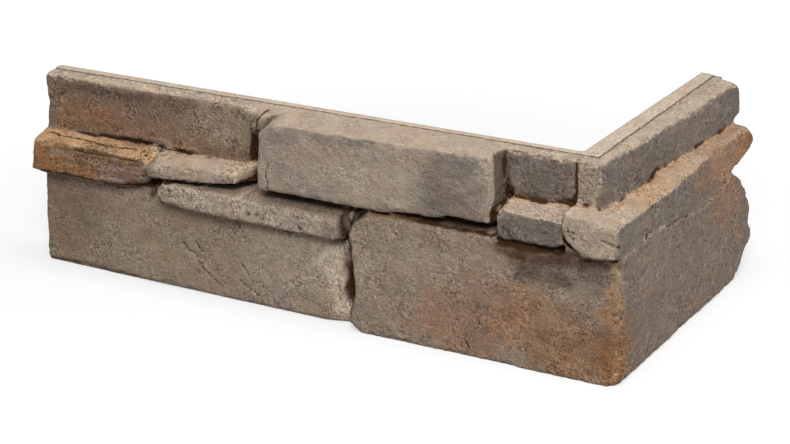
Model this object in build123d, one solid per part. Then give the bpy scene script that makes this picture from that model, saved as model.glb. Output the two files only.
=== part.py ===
"""Stone cladding corner piece: one casting that wraps an outside corner of a wall.

The back is two flat wall faces at a right angle. The front looks like eleven split stones of
different depth, laid dry in courses, three of which turn the corner.

Frame, in millimetres: the origin is the foot of the inner corner, where the two wall faces meet.
The long leg runs towards -X and its stones face -Y. The short leg runs towards +Y and its
stones face +X. +Z is up. Along a leg, "along" is its own X or Y, "up" is Z, and "out" is the
distance from its wall face.
"""
import math
import os
from dataclasses import dataclass

from build123d import *

# Overall sizes
height = 150.0
long_leg = 438.5
short_leg = 217.0

# Back layer: the plain layer behind the seam that shows on the top
seam_out_long_end = 9.0
seam_out_long_corner = 6.0
seam_out_short_corner = 14.0
seam_out_short_end = 11.5
seam_width = 1.4
seam_depth = 1.6
facing_drop = 0.8

# Floor of the joints between the stones
floor_out_long = 12.0
floor_out_long_low = 19.0
floor_out_short = 17.0

# Where the stones' own sides start, inside the floor
root_out = 5.0

# Sides and edges of a stone: run of its beds and ends for each millimetre outwards, and the
# eased edge round its face. Ledges rise steeply to the stone above, and the thin stones hang over
bed_slope = 0.15
ledge_slope = 0.27
overhang_slope = 0.4
end_slope = 0.12
edge_ease = 2.0
ease_slope = 0.8

# How far the faces lean back for each millimetre of height
nose_lean = 0.22
lower_lean = 0.045

# Undulation of the split faces
wave_height = 1.5
wave_run = 24.0
grid_step = 12.0
grid_margin = 36.0

# Depth of each stone's face from its wall face
out_cap_left = 22.5
out_middle = 40.0
out_cap_middle = 18.5
out_nose = 46.0
out_nose_inner = 42.0
out_sliver = 40.0
out_ledge = 41.5
out_key = 40.0
out_lower_left = 31.0
out_lower_left_inner = 34.0

# Depth of the stones that turn the corner, on the long leg and on the short one
out_lower_long = 42.0
out_lower_short = 47.5
out_band_long = 42.0
out_band_short = 46.5
out_band_end = 45.0
out_cap_long = 19.5
out_cap_short = 21.3
out_cap_end = 33.5

# Their eased corner edge, blunter at the foot, and how the lower one swells just above its foot
corner_ease = 3.0
foot_ease = 7.0
corner_lap = 20.0
swell = 4.5
swell_height = 38.0
swell_reach = 30.0

# Joints along the long leg, counted from the corner
joint_corner = 3.2
joint_width = 1.5
joint_overlap = 1.5
key_width = 50.2
recess_width = 7.0
middle_width = 185.0
open_joint = 15.0
lower_corner_width = 163.2
ledge_lap = 13.0
ledge_width = 153.0
nose_lap = 11.0
joint_key = joint_corner - key_width
joint_middle = joint_key - recess_width - middle_width
joint_cap_left = joint_middle - open_joint
joint_lower = joint_corner - lower_corner_width
joint_ledge_right = joint_lower - ledge_lap
joint_ledge_left = joint_ledge_right - ledge_width
joint_sliver = joint_ledge_left - nose_lap

# Courses, counted down from the top
cap_margin = 2.0
cap_course = 32.7
cap_left_course = 45.0
band_course = 22.3
band_joint = 7.0
middle_joint = 6.0
nose_course = 27.0
nose_height = 24.0
ledge_course = 11.0
ledge_height = 18.0
sliver_height = 13.0
key_height = 21.5
bed_cap = height - cap_course
bed_cap_left = height - cap_left_course
bed_band = bed_cap - band_course
bed_lower = bed_band - band_joint
bed_middle = bed_lower + middle_joint
bed_nose = bed_cap_left - nose_course
bed_ledge = bed_nose - ledge_course

LONG = "long"
SHORT = "short"


def between(start, end):
    """A way to name a point by its share of the run from start to end."""
    return lambda share: start + share * (end - start)


def place(leg, along, up, out):
    """Turn a point given along a leg, up and out from its wall face into X, Y, Z."""
    return (along, -out, up) if leg == LONG else (out, along, up)


@dataclass
class Stone:
    """One stone. Its outline runs anticlockwise, seen from the front, as (along, up) pairs."""

    leg: str
    outline: list
    out_start: float
    out_end: float
    phase: float
    root: float = root_out
    top: float = bed_slope
    foot: float = bed_slope
    left: float = end_slope
    right: float = end_slope
    ease: float = edge_ease
    left_ease: float = ease_slope
    right_ease: float = ease_slope
    wave: float = wave_height
    lean: float = 0.0
    swells: bool = False

    def face_out(self, along, up):
        """Depth of the flat face that the waves ride on, measured at the stone's foot."""
        start = min(point[0] for point in self.outline)
        end = max(point[0] for point in self.outline)
        foot = min(point[1] for point in self.outline)
        share = (along - start) / (end - start)
        return self.out_start + (self.out_end - self.out_start) * share - self.lean * (up - foot)


def unit(start, end):
    """Direction from one outline point to the next."""
    run, rise = end[0] - start[0], end[1] - start[1]
    length = math.hypot(run, rise)
    return run / length, rise / length


def offset_outline(points, amounts):
    """Move each edge of a closed outline outwards by its own amount."""
    moved = []
    for index, here in enumerate(points):
        before, after = points[index - 1], points[(index + 1) % len(points)]
        (run, rise), (next_run, next_rise) = unit(before, here), unit(here, after)
        amount, next_amount = amounts[index - 1], amounts[index]
        turn = run * next_rise - rise * next_run
        slide = (next_amount - amount * (run * next_run + rise * next_rise)) / turn
        moved.append((here[0] + rise * amount + run * slide, here[1] - run * amount + rise * slide))
    return moved


def edge_amounts(points, top, foot, left, right):
    """The amount for each edge: beds lie and ends stand; a foot runs right, a right end upwards."""
    amounts = []
    for index, start in enumerate(points):
        run, rise = unit(start, points[(index + 1) % len(points)])
        if abs(run) >= abs(rise):
            amounts.append(foot if run > 0 else top)
        else:
            amounts.append(right if rise > 0 else left)
    return amounts


def section(stone, shift, *amounts):
    """The stone's outline, offset edge by edge, on a plane parallel to its face."""
    points = offset_outline(stone.outline, edge_amounts(stone.outline, *amounts))
    corners = [place(stone.leg, along, up, stone.face_out(along, up) + shift)
               for along, up in points]
    return Wire.make_polygon([Vector(*corner) for corner in corners], close=True)


def tapered_body(stone):
    """The stone as a block: sloping sides from root to shoulder, then the eased edge."""
    depth = stone.out_start - stone.root - stone.ease
    margin = 1.6 * stone.wave
    rise = stone.ease + margin
    root = section(stone, -stone.ease - depth, stone.top * depth, stone.foot * depth,
                   stone.left * depth, stone.right * depth)
    shoulder = section(stone, -stone.ease, 0, 0, 0, 0)
    crown = section(stone, margin, -ease_slope * rise, -ease_slope * rise,
                    -stone.left_ease * rise, -stone.right_ease * rise)
    return Solid.make_loft([root, shoulder, crown], ruled=True)


def undulation(along, up, phase):
    """Undulation of a split face at one point, between about -1 and 1."""
    broad = math.sin((along + 0.5 * up) / wave_run + phase)
    cross = math.sin((1.7 * up - 0.6 * along) / wave_run + 2 * phase)
    fine = math.sin((1.9 * along - 1.4 * up) / wave_run + 3 * phase)
    return 0.45 * broad + 0.35 * cross + 0.2 * fine


def corner_swell(along, up):
    """How far the lower stone swells at the corner, just above its foot."""
    across = (along + out_lower_long) / swell_reach
    rise = (up - swell_height) / swell_reach
    return swell * math.exp(-across * across - rise * rise)


def split_block(stone, reach):
    """Everything behind the stone's undulating face, as far back as the reach."""
    alongs = [point[0] for point in stone.outline]
    ups = [point[1] for point in stone.outline]
    low, high = min(alongs) - grid_margin, max(alongs) + grid_margin
    bottom, top = min(ups) - grid_margin, max(ups) + grid_margin
    columns = math.ceil((high - low) / grid_step)
    rows = math.ceil((top - bottom) / grid_step)
    grid = []
    for row in range(rows + 1):
        up = bottom + (top - bottom) * row / rows
        line = []
        for column in range(columns + 1):
            along = low + (high - low) * column / columns
            out = stone.face_out(along, up) + stone.wave * undulation(along, up, stone.phase)
            if stone.swells:
                out += corner_swell(along, up)
            line.append(Vector(*place(stone.leg, along, up, out)))
        grid.append(line)
    face = Face.make_surface_from_array_of_points(grid)
    return Solid.extrude(face, Vector(*place(stone.leg, 0, 0, -reach)))


def cut_stone(stone):
    """The tapered block with its split face."""
    return tapered_body(stone) & split_block(stone, max(stone.out_start, stone.out_end) + grid_step)


def upper_stones():
    """The stones of the top course on the long leg."""
    top = height - cap_margin
    left_at = between(-long_leg, joint_cap_left)
    cap_left = Stone(
        LONG,
        [(left_at(0), bed_cap_left), (left_at(0.45), bed_cap_left + 3),
         (left_at(0.73), bed_cap_left + 1), (left_at(1), bed_cap_left - 3),
         (left_at(1), top - 16), (left_at(1) + 5, top), (left_at(0), top),
         (left_at(0) + 2, bed_cap_left + 22)],
        out_cap_left, out_cap_left, phase=0.4)
    middle_at = between(joint_middle, joint_key - recess_width)
    middle = Stone(
        LONG,
        [(middle_at(0), bed_middle), (middle_at(0.56), bed_middle), (middle_at(0.64), bed_middle + 3),
         (middle_at(0.79), bed_middle + 3.5), (middle_at(0.83), bed_middle + 6.5),
         (middle_at(1) + 2, bed_middle + 6), (middle_at(1), top - 1), (middle_at(0.43), top - 3.5),
         (middle_at(0) + 14, top - 3), (middle_at(0) + 2, top - 11)],
        out_middle, out_middle, phase=1.9, right_ease=2.0)
    cap_end = joint_corner - joint_width
    cap_middle = Stone(
        LONG,
        [(joint_key, bed_cap), (cap_end, bed_cap + 1), (cap_end, top), (joint_key - 9, top - 1),
         (joint_key - 9.5, top - 9), (joint_key - 3, bed_cap + 10)],
        out_cap_middle, out_cap_middle, phase=2.7, wave=1.0)
    return [cap_left, middle, cap_middle]


def middle_stones():
    """The thin stones between the courses on the long leg."""
    left = -long_leg
    nose = Stone(
        LONG,
        [(left, bed_nose), (joint_sliver - 22, bed_nose - 0.5), (joint_sliver - 6, bed_nose + 3),
         (joint_sliver, bed_nose + 9), (joint_sliver, bed_nose + nose_height - 5),
         (joint_sliver - 5, bed_nose + nose_height - 1), (left, bed_nose + nose_height)],
        out_nose, out_nose_inner, phase=0.9, lean=nose_lean, top=ledge_slope, foot=overhang_slope)
    sliver_at = between(joint_sliver, joint_cap_left - 3)
    sliver_top = bed_nose + 9 + sliver_height
    sliver = Stone(
        LONG,
        [(sliver_at(0.04), sliver_top - 13), (sliver_at(0.46), sliver_top - 11),
         (sliver_at(0.78), sliver_top - 8), (sliver_at(1), sliver_top - 5),
         (sliver_at(1), sliver_top + 1), (sliver_at(0.46), sliver_top),
         (sliver_at(0.09), sliver_top - 2), (sliver_at(0), sliver_top - 6)],
        out_sliver, out_sliver, phase=0.2, ease=0.8, wave=0.5, top=ledge_slope, right=0.45)
    ledge_at = between(joint_ledge_left, joint_ledge_right)
    ledge_top = bed_ledge + ledge_height
    ledge = Stone(
        LONG,
        [(ledge_at(0), bed_ledge + 4), (ledge_at(0.17), bed_ledge + 1), (ledge_at(0.56), bed_ledge),
         (ledge_at(1), bed_ledge - 1), (ledge_at(1), ledge_top - 1), (ledge_at(0.03), ledge_top),
         (ledge_at(0), ledge_top - 5)],
        out_ledge, out_ledge, phase=1.2, ease=1.5, wave=0.8)
    key_end = joint_corner - joint_width
    key_foot = bed_band - 4
    key = Stone(
        LONG,
        [(joint_key, key_foot), (key_end - 4, key_foot + 0.5), (key_end + 2, key_foot + 4),
         (key_end, key_foot + key_height - 1.5), (joint_key + 3, key_foot + key_height),
         (joint_key, key_foot + key_height - 4.5)],
        out_key, out_key, phase=2.2, ease=1.5, wave=0.8, top=ledge_slope, right=0.3)
    return [nose, sliver, ledge, key]


def lower_left():
    """The tall stone of the foot on the long leg, its right end sloping into the joint."""
    left = -long_leg
    return Stone(
        LONG,
        [(left, 0), (joint_lower - 8, 0), (joint_lower - 14, 0.37 * bed_ledge),
         (joint_lower - 19, 0.67 * bed_ledge), (joint_lower - 23, bed_ledge - 3),
         (joint_lower - 38, bed_ledge - 1), (joint_ledge_left, bed_ledge + 1),
         (joint_sliver + 2, bed_nose - 1), (left, bed_nose - 0.5)],
        out_lower_left, out_lower_left_inner, phase=3.1, lean=lower_lean, right=0.5)


def corner_wedge(face, end):
    """What lies beyond the eased corner edge of a stone that turns the corner."""
    steps = 10
    sections = []
    for step in range(steps + 1):
        up = height * step / steps
        x, y = face.out_start, -end.face_out(face.out_start, up)
        ease = corner_ease
        if face.swells:
            x += corner_swell(y, up)
            ease += (foot_ease - corner_ease) * max(0, 1 - up / bed_lower)
        sections.append(Wire.make_polygon([
            Vector(x - ease - grid_step, y - grid_step, up),
            Vector(x + 2 * grid_step, y - 2 * grid_step, up),
            Vector(x + grid_step, y + ease + grid_step, up)], close=True))
    return Solid.make_loft(sections, ruled=True)


def turned_stone(body, face, end):
    """A stone that turns the corner: its body behind both split faces, less the corner edge."""
    reach = long_leg + short_leg
    return (body & split_block(face, reach) & split_block(end, reach)) - corner_wedge(face, end)


def end_face(face, out, phase, wave):
    """The split face that a stone of the short leg shows on the long leg."""
    ups = [point[1] for point in face.outline]
    outline = [(face.root, min(ups)), (face.out_start, min(ups)), (face.out_start, max(ups))]
    return Stone(LONG, outline, out, out, phase, wave=wave)


def band_foot():
    """The line where the band rests on the lower corner stone, on the short leg."""
    at = between(-out_band_long, short_leg)
    return [(at(0.03), bed_band - 3.5), (at(0.2), bed_band - 2.5), (at(0.32), bed_band - 4.7),
            (at(0.47), bed_band - 8), (at(0.57), bed_band - 9.4), (at(0.73), bed_band - 11),
            (at(0.81), bed_band - 5)]


def lower_corner():
    """The tall stone of the foot that turns the corner, its far end broken off in steps."""
    start, end = -out_lower_long - grid_step, short_leg
    up = between(0, bed_lower)
    joint = [(along, foot + joint_overlap) for along, foot in reversed(band_foot())]
    face = Stone(
        SHORT,
        [(start, 0), (end - 36, 0), (end - 17, up(0.1)), (end - 9, up(0.22)), (end, up(0.28)),
         (end - 1, up(0.36)), (end - 8, up(0.45)), (end - 6, up(0.61)), (end - 18, up(0.79)),
         (end - 31, up(0.93))] + joint + [(joint[-1][0] - 2, up(1) - 1), (start, up(1) - 1)],
        out_lower_short, out_lower_short, phase=1.5, left=0, swells=True)
    long_face = Stone(
        LONG,
        [(joint_lower + 9, -edge_ease), (corner_lap, -edge_ease), (corner_lap, up(1) - 0.5),
         (joint_key + 3, up(1) - 0.5), (joint_key - 4, up(1) + 4),
         (joint_lower + 12, up(1) + 3), (joint_lower + 2, up(0.95)),
         (joint_lower - 4, up(0.82)), (joint_lower, up(0.57)), (joint_lower + 3, up(0.35)),
         (joint_lower - 2, up(0.07))],
        out_lower_long, out_lower_long, phase=0.7, lean=lower_lean, right=0)
    return turned_stone(tapered_body(face) + tapered_body(long_face), face, long_face)


def band():
    """The middle stone of the corner, its lower left edge broken off at the end."""
    start, end = -out_band_long - grid_step, short_leg
    top = bed_band + band_course - 0.3
    face = Stone(
        SHORT,
        [(start, bed_band - 3.5)] + band_foot()
        + [(end - 10, bed_band + 1), (end, bed_band + 7), (end, top - 11), (end - 12, top - 1),
           (start, top)],
        out_band_short, out_band_end, phase=2.4, root=joint_corner, left=0)
    chip = Polyline((joint_corner - 1, bed_band + 11), (joint_corner - 1, bed_band - 12),
                    (joint_corner + 15, bed_band - 12), (joint_corner + 13, bed_band - 2),
                    (joint_corner + 5, bed_band + 3), close=True)
    broken = Pos(0, -floor_out_long, 0) * extrude(Plane.XZ * make_face(chip), out_band_long)
    return turned_stone(tapered_body(face), face, end_face(face, out_band_long, 0.5, 0.8)) - broken


def cap_corner():
    """The top stone of the corner, stepped along its lower edge."""
    start, end, top = -out_cap_long - grid_step, short_leg, height - cap_margin
    at = between(start, end)
    face = Stone(
        SHORT,
        [(start, bed_cap), (at(0.28), bed_cap - 1), (at(0.35), bed_cap - 2), (at(0.37), bed_cap + 2),
         (at(0.382), bed_cap + 5), (at(0.46), bed_cap), (at(0.635), bed_cap), (end - 12, bed_cap + 1),
         (end, bed_cap + 5), (end, top - 14),
         (end - 3, top - 6), (end - 9, top), (start, top)],
        out_cap_short, out_cap_end, phase=0.1, root=joint_corner, left=0)
    return turned_stone(tapered_body(face), face, end_face(face, out_cap_long, 1.1, 0.6))


def angle_slab(out_long, out_short, low, high):
    """An L in plan, from the two wall faces outwards, between two heights."""
    plan = Polyline((0, 0), (-long_leg, 0), (-long_leg, -out_long), (out_short, -out_long),
                    (out_short, short_leg), (0, short_leg), close=True)
    return Pos(0, 0, low) * extrude(make_face(plan), high - low)


def seam_line(shift):
    """The seam in plan, moved outwards by a shift."""
    return [(-long_leg, -seam_out_long_end - shift),
            (seam_out_short_corner + shift, -seam_out_long_corner - shift),
            (seam_out_short_end + shift, short_leg)]


def back_layer():
    """The layer behind the seam, at full height."""
    plan = Polyline(*seam_line(0), (0, short_leg), (0, 0), (-long_leg, 0), close=True)
    return extrude(make_face(plan), height)


def seam_groove():
    """The narrow groove along the seam, open at the top."""
    inner, outer = seam_line(-seam_width / 2), seam_line(seam_width / 2)
    plan = Polyline(*inner, *reversed(outer), close=True)
    return Pos(0, 0, height - seam_depth) * extrude(make_face(plan), seam_depth)


def corner_piece():
    """The whole casting as one solid."""
    reach = 2 * out_lower_short
    envelope = angle_slab(reach, reach, 0, height - facing_drop)
    stones = [cut_stone(stone) for stone in upper_stones() + middle_stones() + [lower_left()]]
    stones += [lower_corner(), band(), cap_corner()]
    facing = [stone & envelope for stone in stones]
    facing.append(angle_slab(floor_out_long, floor_out_short, 0, height - facing_drop))
    facing.append(angle_slab(floor_out_long_low, floor_out_short, 0, bed_ledge - 1))
    return back_layer() + facing - seam_groove()


os.makedirs("parts", exist_ok=True)
export_step(corner_piece(), "parts/stone_corner.step")
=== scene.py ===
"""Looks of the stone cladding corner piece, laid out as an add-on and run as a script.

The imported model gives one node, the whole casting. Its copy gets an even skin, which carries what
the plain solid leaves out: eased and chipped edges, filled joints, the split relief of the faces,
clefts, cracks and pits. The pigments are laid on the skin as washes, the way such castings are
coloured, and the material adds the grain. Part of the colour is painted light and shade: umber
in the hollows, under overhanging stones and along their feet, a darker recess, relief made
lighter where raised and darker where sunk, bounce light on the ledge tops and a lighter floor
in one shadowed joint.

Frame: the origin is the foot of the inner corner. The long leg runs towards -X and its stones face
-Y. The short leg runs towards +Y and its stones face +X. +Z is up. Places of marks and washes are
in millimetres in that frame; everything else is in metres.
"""
import math
from dataclasses import dataclass

import bmesh
import bpy
import numpy as np
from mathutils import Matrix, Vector, noise
from mathutils.bvhtree import BVHTree


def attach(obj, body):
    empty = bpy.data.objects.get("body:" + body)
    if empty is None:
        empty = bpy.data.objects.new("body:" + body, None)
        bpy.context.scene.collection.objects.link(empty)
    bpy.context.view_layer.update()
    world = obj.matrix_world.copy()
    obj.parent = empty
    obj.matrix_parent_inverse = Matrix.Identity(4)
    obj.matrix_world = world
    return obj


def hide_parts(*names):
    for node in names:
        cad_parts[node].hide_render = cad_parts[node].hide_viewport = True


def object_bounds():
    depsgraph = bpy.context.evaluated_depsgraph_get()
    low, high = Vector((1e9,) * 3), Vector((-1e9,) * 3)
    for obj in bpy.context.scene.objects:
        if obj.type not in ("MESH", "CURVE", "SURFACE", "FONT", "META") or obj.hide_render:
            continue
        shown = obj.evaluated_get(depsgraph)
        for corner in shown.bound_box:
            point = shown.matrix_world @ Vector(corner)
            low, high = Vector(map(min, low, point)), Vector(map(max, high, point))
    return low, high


bl_info = {
    "name": "Stone cladding corner",
    "version": (1, 0, 0),
    "blender": (4, 5, 0),
    "location": "3D View > Sidebar > Stone corner",
    "description": "Finishes the cast stone corner piece and sets it in a plain studio",
    "category": "Object",
}

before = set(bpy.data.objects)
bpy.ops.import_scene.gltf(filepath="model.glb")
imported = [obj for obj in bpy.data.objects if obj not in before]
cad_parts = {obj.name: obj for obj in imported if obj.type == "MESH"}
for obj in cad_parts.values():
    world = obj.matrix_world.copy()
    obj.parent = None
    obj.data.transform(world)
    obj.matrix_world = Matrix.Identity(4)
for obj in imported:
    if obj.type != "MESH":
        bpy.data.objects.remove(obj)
CAD_LOW, CAD_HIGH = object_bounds()
MIDDLE = (Vector(CAD_LOW) + Vector(CAD_HIGH)) / 2

NODE = "stone_corner"
BODY = "root"
PIECE = "cast_corner"
MM = 0.001
SEED = 3
LONG, SHORT, TOP = "long", "short", "top"

# Places and widths on the casting, in millimetres; the recess is beside the chiselled stones
LEG_ENDS = (-438.5, 217.0)
CRISP_END = 12.0
WALL_EDGE = 1.0
TOP_EDGE = 147.5
SEAM_FLOOR = 145.5
BOUNCE_LIGHT_BED = 97.0
RECESS = ((-58, -31, 112), (-46, -5, 151))
FILL_BACK = 9.0

# The joints' floors, and how far in front of them the stain is gone and full
JOINT_FLOOR = 12.0
LOW_JOINT_FLOOR = 19.0
LOW_JOINT_TOP = 66.0
SHORT_JOINT_FLOOR = 17.0
LONG_STAIN = (4.5, 2.5)
SHORT_STAIN = (2.6, 1.0)

# How squarely a point faces outward where a mark starts and is full
FACING = (0.3, 0.6)

# How rough the plain faces are, where the stones are 1
TOP_ROUGHNESS = 0.3
WALL_ROUGHNESS = 0.05
BASE_ROUGHNESS = 0.1

# How much less the moulded ends are chipped and layered; how much coarser the short leg is
LESS_CHIPS = 0.75
LESS_LAYERS = 0.7
MORE_GRAIN = 0.35

# Rounds of smoothing: to find edges and creases, to ease fillings and to blend numbers
TURN_ROUNDS = 12
FILL_ROUNDS = 30
BLEND_ROUNDS = 3

# How far edges stand out of the smoothed skin, or creases go into it, in metres: start and full
EDGE_TURN = (0.0002, 0.0009)
CREASE_TURN = (0.00025, 0.0008)

# Size of each wander in metres, and its height: metres for cracks, millimetres for washes
CRACK_WANDER = (0.004, 0.0009)
BROAD_WANDER = (0.034, 14.0)
FINE_WANDER = (0.009, 7.0)

# What breaks up borders: its own wander, a plain number, and what divides the broad and fine ones
ROUGH_WANDER = (0.003, 0.4)
ROUGH_BY = (14.0, 9.0)

# The share of its reach where a wash is gone and full, and the reach below which it wanders less
WASH_EDGE = (1.25, 0.55)
STEADY_REACH = 16.0

# How strongly creases are darkened, as dark joint lines and painted shade; how strongly painted
# bounce light lies on upward faces above the beds; how strongly fillings are tinted; how much less
# of the hollows' umber, dark joint colour and painted shade, upper faces take
CREASE_STAIN_AND_SHADE = 0.6
BOUNCE_LIGHT_TINT = 0.6
FILL_TINT = 0.85
LESS_STAIN_AND_SHADE = 0.85

# What multiplies places along X, Y and Z, so that layers, chisel strokes and streaks lie flat
LAYER_SQUEEZE = (0.12, 0.4, 1.0)
STROKE_SQUEEZE = (1.0, 1.0, 1.6)
STREAK_SQUEEZE = (0.12, 0.12, 1.0)

# Noise of the material and its specks: marks to the metre, detail and roughness
NOISES = {
    "fine": (620.0, 2.0, 0.6), "middle": (300.0, 3.0, 0.6),
    "broad": (90.0, 4.0, 0.6), "streaks": (420.0, 3.0, 0.6),
    "patches": (55.0, 2.0), "pits": (330.0, 2.0),
    "dark": (520.0, 1.0), "light": (700.0, 1.0),
    "warmth": (48.0, 3.0, 0.6), "seam": (90.0, 3.0),
}

# Where marks start and are full in their noise, and how strongly each noise shows
LIMITS = {"patches": (0.35, 0.65), "pits": (0.55, 0.66), "dark": (0.66, 0.76), "light": (0.6, 0.72)}
STRENGTHS = {"fine": 0.85, "middle": 0.45, "broad": 0.3, "pits": 0.4, "dark": 0.42, "light": 0.35,
             "warmth": 0.13}
# How much lighter raised relief and darker sunk relief is painted, as painted shade and highlight.
HEIGHT_SHADE = 120.0


# What lies where, in millimetres

@dataclass
class Stone:
    """The box that a stone fills, its pigments by the way a face looks, and how it was split.

    A foot is a line of places along Y and up, and the stone has only what lies above it.
    """

    low: tuple
    high: tuple
    front: str
    side: str = "sand"
    top: str = "sand"
    layered: float = 0.0
    chiselled: float = 0.0
    grain: float = 1.1
    foot: tuple = ()


@dataclass
class Crack:
    """A crack in the faces of a leg or in the tops: its line, half its width, depth and darkening,
    which along the feet of overhanging stones is painted shadow.

    It marks only what lies nearer to the wall, or lower on the tops, than its furthest.
    """

    line: tuple
    leg: str = LONG
    reach: float = 1.3
    depth: float = 0.7
    stain: float = 0.48
    furthest: float = 160.0


@dataclass
class Dent:
    """A pit: its middle, radius, depth and pigment."""

    middle: tuple
    radius: float
    depth: float
    pigment: str


@dataclass
class Filling:
    """Mix that fills a joint of the long leg: its middle, its radius and how far it comes out."""

    middle: tuple
    radius: float
    height: float


@dataclass
class Push:
    """A box of skin that is pushed a little, and how softly that starts at each of its sides."""

    low: tuple
    high: tuple
    ease: tuple
    shift: tuple


@dataclass
class Wash:
    """A wash of pigment: its middle, its reach, its strength and the faces that take it."""

    pigment: str
    middle: tuple
    reach: tuple
    strength: float
    faces: str = "front"


# Foot of the band that turns the corner, along the short leg
BAND_FOOT = ((-47, 91), (-22.8, 89.6), (9.9, 92.5), (40.4, 90.3), (80.1, 86.9), (104.7, 85.6),
             (147.1, 83.7), (167.8, 90.6))

# The seam on the top, seen from above: left end, corner and far end
SEAM = ((-438.5, -9), (14, -6), (11.5, 217))

# From the top course down and from left to right; where boxes overlap, the first stone counts
STONES = (
    # The left top stone's right end is umber: the dark joint beside the long top stone, partly
    # painted shadow that stone casts.
    Stone((-440, -27, 105.5), (-252, -8, 152), "brown", "umber", grain=1.5),
    Stone((-241, -48, 92), (-49, -8, 152), "ash", grain=0.6),
    Stone((-58, -24, 115), (2.5, -5, 152), "slate", "slate", chiselled=1.0),
    Stone((2.5, -24, 115), (36, 220, 152), "sand", "slate"),
    Stone((-440, -52, 76), (-335, -8, 109), "ochre", "clay", "straw", layered=1.0, grain=1.3),
    Stone((-337, -48, 83), (-252, -8, 107), "stone"),
    Stone((-328, -48, 64), (-170, -8, 88), "stone", top="clay", layered=0.2, grain=1.2),
    Stone((-48, -48, 88), (4.5, -8, 118), "slate", chiselled=1.0, grain=1.0),
    Stone((2.5, -48, 83), (56, 220, 118), "sand", "slate", foot=BAND_FOOT),
    Stone((-440, -48, -1), (-158, -8, 80), "clay", top="clay"),
    # The tall corner stone's top is umber: the dark joint, and painted shade under the stones that
    # overhang it.
    Stone((-165, -52, -1), (60, 220, 95), "dun", "earth", "umber"),
)

# Cracks that the photo shows, and clefts between the stones; the dark lines along the feet of
# overhanging stones are the dark joints and painted shadow under them
CRACKS = (
    Crack(SEAM, TOP, depth=0.5, stain=0.0),
    Crack(((-310, 37), (-305, 32), (-298, 30), (-295, 24), (-290, 18), (-280, 12), (-275, 9))),
    Crack(((-300, 40), (-292, 32)), depth=0.6),
    Crack(((-259, 31), (-251, 22))),
    Crack(((-260, 17), (-242, 8))),
    Crack(((-230, 8), (-226, 3)), depth=0.8),
    Crack(((-68.9, 15.4), (-68, 11.5), (-63.7, 5.8)), depth=1.0, stain=0.55),
    Crack(((-0.3, 6.1), (4.7, 2.3)), depth=1.0),
    Crack(((-16.2, 51.1), (-9.7, 48)), stain=0.4),
    Crack(((32.7, 104.5), (39.7, 103), (48, 100.5)), depth=1.1, stain=0.5),
    Crack(((-41.5, 100.8), (-34.7, 92.9)), depth=0.9),
    Crack(((-228.9, 116), (-230, 104.4), (-228.5, 95.5)), reach=1.2, depth=0.6),
    Crack(((-232.9, 125.1), (-232.3, 113.8)), reach=1.2, depth=0.4, stain=0.3),
    # Dark line at the left edge of the upper chiselled stone: a groove, darkened partly as painted
    # shade of that stone's side.
    Crack(((-50, 147), (-49.5, 137), (-48.8, 130), (-47.6, 122.8), (-43.5, 118.5)),
          reach=1.0, depth=1.5, stain=0.6, furthest=28),
    Crack(((-43, 118), (-25.5, 116.9), (-14, 117.4), (2.4, 117.6)), reach=0.9, depth=1.3,
          stain=0.55, furthest=22),
    Crack(((2.6, 118.6), (12, 118.6), (24, 118)), reach=1.1, depth=1.0, stain=0.6,
          furthest=24),
    Crack(((-18, 116.4), (30, 116), (58, 116)), SHORT, reach=1.1, depth=0.8, stain=0.5,
          furthest=27),
    # Along the foot of the layered stone: the dark joint and painted shadow under it.
    Crack(((-437, 76.4), (-343, 76.4), (-329, 83.4)), reach=2.2, depth=1.6, stain=0.9),
    # Along the foot of the upper thin stone: the dark joint and painted shadow under it.
    Crack(((-334, 87), (-318, 86.5), (-287, 89.4), (-265, 90), (-244, 98)), reach=2.0,
          depth=1.6, stain=0.9),
    # At the left end of the lower thin stone: the dark gap and painted shadow beside it.
    Crack(((-331, 80), (-333.6, 72), (-329, 66)), reach=1.9, depth=1.6, stain=0.9),
    Crack(((-241, 149), (-252, 134)), reach=1.2, depth=1.0, stain=0.7),
    Crack(((2.6, 149), (2.8, 133), (2.5, 118)), reach=1.5, depth=2.0, stain=1.0),
    Crack(((-440, 0), (-402, 1), (-352, -1)), reach=4.0, depth=2.2, stain=0.0),
    Crack(((4, 93), (10, 95), (16, 95.5)), SHORT, depth=0.6, stain=0.6),
    Crack(BAND_FOOT[3:5], SHORT, reach=1.5, depth=1.2, stain=0.45),
    Crack(BAND_FOOT[4:], SHORT, reach=1.5, depth=0.8, stain=0.2),
    Crack(((69.4, 151), (66.6, 141), (65.7, 132), (68.6, 122.6)), SHORT, depth=1.2, stain=0.35),
    Crack(((179, 26.6), (193.8, 18.1), (202.1, 24)), SHORT, depth=1.0, stain=0.3),
    Crack(((-432, -27), (-415, -29), (-398, -28), (-376, -30), (-352, -27)), TOP, stain=0.6),
    Crack(((-402, 98.5), (-384, 97), (-366, 98), (-344, 96.5)), stain=0.5),
)

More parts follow.
